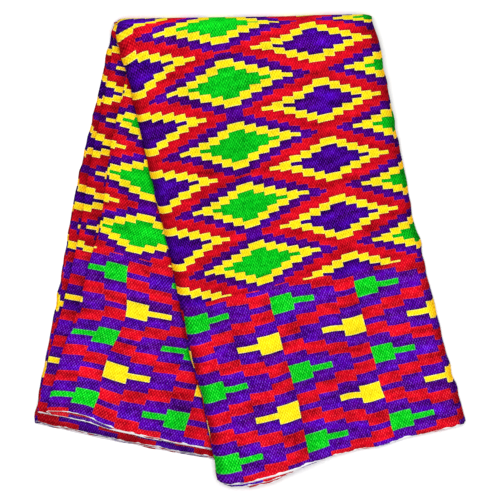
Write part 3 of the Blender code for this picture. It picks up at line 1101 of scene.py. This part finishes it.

    # White warp shows at the ties, most in the borders. The brighter side of a colour's edge gets a
    # painted highlight.
    tie = calc("MULTIPLY", calc("MAXIMUM", calc("SUBTRACT", grain, 1.0), 0.0),
               calc("MULTIPLY_ADD", in_border, BORDER_TIE_WHITE, TIE_WHITE))
    edge_highlight = calc("MULTIPLY", calc("POWER", proud, HIGHLIGHT_POWER),
                  calc("MULTIPLY_ADD", dot, HIGHLIGHT_DOTS, HIGHLIGHT_WHITE))
    colour = blend(calc("MAXIMUM", tie, edge_highlight), colour, WHITE)
    from_wide = calc("DIVIDE", calc("ABSOLUTE", calc("SUBTRACT", across, WIDE_AT)), WIDE_HALF)
    wide = calc("MAXIMUM", calc("SUBTRACT", 1.0, calc("POWER", from_wide, 2.0)), 0.0)
    slope, start, least = SELVAGE_UNEVEN
    selvage = calc("MAXIMUM", calc("MULTIPLY_ADD", patchy, slope, start), least)
    selvage = calc("MULTIPLY_ADD", wide, WIDE_SELVAGE, calc("MULTIPLY", selvage, SELVAGE))
    selvage = calc("LESS_THAN", attribute("from_hem"), selvage)

    # The share of light that the weave's own grain, the yarns beside it and the folds leave it.
    slow = calc("MULTIPLY_ADD", slow, by_yarn(calc, here, SLOW_DEPTH), 1.0)
    shade = calc("MULTIPLY_ADD", grain, by_yarn(calc, here, GRAIN_DEPTH), slow)
    shade = calc("MULTIPLY_ADD", here["Heart"], HEART_SHADE, calc("MAXIMUM", shade, LEAST_SHADE))
    deeper = calc("MULTIPLY", shaded, by_yarn(calc, here, DEEPER_BESIDE))
    wrong = attribute("wrong_side")
    dark = calc("MULTIPLY", dark, calc("MULTIPLY_ADD", here["Yellow"], -YELLOW_KEEPS, 1.0))
    for share in (
        calc("MULTIPLY_ADD", in_border, by_yarn(calc, here, BORDER_LIFT), 1.0),
        # The painted shadow on the darker side of a colour's edge.
        calc("MULTIPLY_ADD", edge_shadow, SUNK_SHADE, 1.0),
        calc("MAXIMUM", calc("ADD", deeper, 1.0), LEAST_BESIDE),
        calc("MULTIPLY_ADD", wrong, WRONG_SIDE_SHADE, 1.0),
        calc("SUBTRACT", 1.0, dark),
    ):
        shade = calc("MULTIPLY", shade, share)
    colour = blend(calc("MULTIPLY", wrong, WRONG_SIDE_WHITE), colour, WHITE)
    dimmed = add("ShaderNodeVectorMath", {0: colour, "Scale": shade}, operation="SCALE")[0]
    rim = blend(light, WHITE_SHADED, RIM_WHITE)

    height = calc("MULTIPLY_ADD", lattice, BUMP_TIES, own)
    bumps = {"Strength": BUMP_STRENGTH, "Distance": BUMP_HEIGHT, "Height": height}
    shader = tree.nodes["Principled BSDF"]
    tree.links.new(blend(selvage, dimmed, rim), shader.inputs["Base Color"])
    tree.links.new(add("ShaderNodeBump", bumps)[0], shader.inputs["Normal"])
    shader.inputs["Roughness"].default_value = CLOTH_ROUGHNESS
    shader.inputs["Specular IOR Level"].default_value = CLOTH_SPECULAR
    return material


cloth.data.materials.append(woven_material())
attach(cloth, "root")
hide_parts("kente_cloth")


# The threads along the selvages
# Short ends of the white cotton weft stick out where it turns back at the two selvages. They are
# as thick as one yarn, bend a little and point away from the hem, none quite like the next.

THREAD_SPACING = 4.5 * MM
THREAD_LENGTH = 1.8 * MM
THREAD_LEAST = 0.3
THREAD_RADIUS = 0.13 * MM
THREAD_SPREAD = 1.1
THREAD_ROLL = 0.4
THREAD_DIP = 0.3
THREAD_BEND = {"Start": (0, 0, 0), "Middle": (0.5, 0.1, 0.15), "End": (1.0, -0.1, 0.0)}
THREAD_WHITE = (0.92, 0.9, 0.91, 1.0)


def plain_material(name, colour, roughness):
    material = bpy.data.materials.new(name)
    material.use_nodes = True
    shader = material.node_tree.nodes["Principled BSDF"]
    shader.inputs["Base Color"].default_value = colour
    shader.inputs["Roughness"].default_value = roughness
    return material


def thread_nodes():
    """Nodes that set short bent threads along a line, each turned and sized a little differently."""
    group = bpy.data.node_groups.new("selvage_threads", "GeometryNodeTree")
    sockets = (("Line", "Geometry"), ("Spacing", "Float"), ("Length", "Float"), ("Radius", "Float"),
               ("Heading", "Float"), ("Spread", "Float"), ("Seed", "Int"), ("Yarn", "Material"))
    for name, kind in sockets:
        group.interface.new_socket(name, in_out="INPUT", socket_type="NodeSocket" + kind)
    group.interface.new_socket("Threads", in_out="OUTPUT", socket_type="NodeSocketGeometry")
    add, calc = partial(new_node, group), partial(new_sum, group)
    given = group.nodes.new("NodeGroupInput").outputs
    line = add("GeometryNodeMeshToCurve", {"Mesh": given["Line"]})[0]
    spaced = {"Curve": line, "Length": given["Spacing"]}
    points = add("GeometryNodeResampleCurve", spaced, mode="LENGTH")[0]
    bend = add("GeometryNodeCurveQuadraticBezier", {"Resolution": 2, **THREAD_BEND})[0]
    girth = {"Resolution": 3, "Radius": calc("DIVIDE", given["Radius"], given["Length"])}
    ring = add("GeometryNodeCurvePrimitiveCircle", girth)[0]
    tube = add("GeometryNodeCurveToMesh", {"Curve": bend, "Profile Curve": ring})[0]
    turns = {"Seed": given["Seed"]}
    for number, sign in enumerate((-1.0, 1.0)):
        heading = calc("MULTIPLY_ADD", given["Spread"], sign, given["Heading"])
        limit = {"X": THREAD_ROLL * sign, "Y": THREAD_DIP * (sign - 1.0) / 2, "Z": heading}
        turns[number] = add("ShaderNodeCombineXYZ", limit)[0]
    turn = add("FunctionNodeRandomValue", turns, data_type="FLOAT_VECTOR")[0]
    shortest = calc("MULTIPLY", given["Length"], THREAD_LEAST)
    sizes = {2: shortest, 3: given["Length"], "Seed": calc("ADD", given["Seed"], 1.0)}
    size = add("FunctionNodeRandomValue", sizes, data_type="FLOAT")[1]
    placed = {"Points": points, "Instance": tube, "Rotation": turn, "Scale": size}
    real = add("GeometryNodeRealizeInstances", {0: add("GeometryNodeInstanceOnPoints", placed)[0]})[0]
    paint = add("GeometryNodeSetMaterial", {"Geometry": real, "Material": given["Yarn"]})[0]
    group.links.new(paint, group.nodes.new("NodeGroupOutput").inputs[0])
    return group


def selvage_threads(name, hem, heading, seed):
    """The threads along one selvage, as a plain mesh."""
    line = bpy.data.meshes.new(name)
    line.from_pydata(hem.tolist(), [(i, i + 1) for i in range(len(hem) - 1)], [])
    threads = bpy.data.objects.new(name, line)
    bpy.context.scene.collection.objects.link(threads)
    setting = threads.modifiers.new("threads", "NODES")
    setting.node_group = THREAD_NODES
    wanted = {"Spacing": THREAD_SPACING, "Length": THREAD_LENGTH, "Radius": THREAD_RADIUS,
              "Heading": heading, "Spread": THREAD_SPREAD, "Seed": seed, "Yarn": THREAD_YARN}
    for item in THREAD_NODES.interface.items_tree:
        if item.name in wanted:
            setting[item.identifier] = wanted[item.name]
    ready = threads.evaluated_get(bpy.context.evaluated_depsgraph_get())
    plain = bpy.data.meshes.new_from_object(ready)
    threads.modifiers.clear()
    threads.data = plain
    plain.name = name
    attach(threads, "root")
    return threads


THREAD_NODES = thread_nodes()
THREAD_YARN = plain_material("selvage_yarn", THREAD_WHITE, 0.9)
fringe = [
    selvage_threads("front_selvage_threads", middle[0], math.atan2(*hemward(FRONT_ROWS)[::-1]), 3),
    selvage_threads("back_selvage_threads", middle[-1], math.atan2(*hemward(BACK_ROWS)[::-1]), 8),
]


# The floor and the light
# A plain pale floor, one wide soft lamp high overhead and an even pale surround.

FLOOR_SIZE = 8.0
FLOOR_WHITE = (0.99, 0.99, 0.99, 1.0)
LAMP_PLACE = (0.0, 0.05, 2.6)
LAMP_SIZE = 2.4
LAMP_POWER = 66.5
SURROUND = 0.42


def make_floor():
    mesh = bmesh.new()
    bmesh.ops.create_grid(mesh, x_segments=1, y_segments=1, size=FLOOR_SIZE / 2)
    data = bpy.data.meshes.new("floor")
    mesh.to_mesh(data)
    mesh.free()
    data.materials.append(plain_material("pale_floor", FLOOR_WHITE, 0.8))
    floor = bpy.data.objects.new("floor", data)
    bpy.context.scene.collection.objects.link(floor)


def make_light():
    lamp = bpy.data.lights.new("softbox", "AREA")
    lamp.shape = "SQUARE"
    lamp.size = LAMP_SIZE
    lamp.energy = LAMP_POWER
    holder = bpy.data.objects.new("softbox", lamp)
    holder.location = LAMP_PLACE
    bpy.context.scene.collection.objects.link(holder)
    world = bpy.data.worlds.new("surround")
    world.use_nodes = True
    background = world.node_tree.nodes["Background"]
    background.inputs["Strength"].default_value = SURROUND
    background.inputs["Color"].default_value = (1, 1, 1, 1)
    bpy.context.scene.world = world


make_floor()
make_light()


# The camera
# It looks straight down on the cloth, from far enough away that its edges keep their shape.

CAMERA_HEIGHT = 3.2
CLOTH_MIDDLE = 0.012
VIEW_WIDTH = 0.66
VIEW_CENTRE = (-0.0004, 0.0011)

camera = bpy.data.cameras.new("camera")
camera.sensor_width = 36
camera.lens = camera.sensor_width * (CAMERA_HEIGHT - CLOTH_MIDDLE) / VIEW_WIDTH
holder = bpy.data.objects.new("camera", camera)
holder.location = (*VIEW_CENTRE, CAMERA_HEIGHT)
bpy.context.scene.collection.objects.link(holder)
bpy.context.scene.camera = holder
bpy.context.scene.view_settings.view_transform = "Standard"
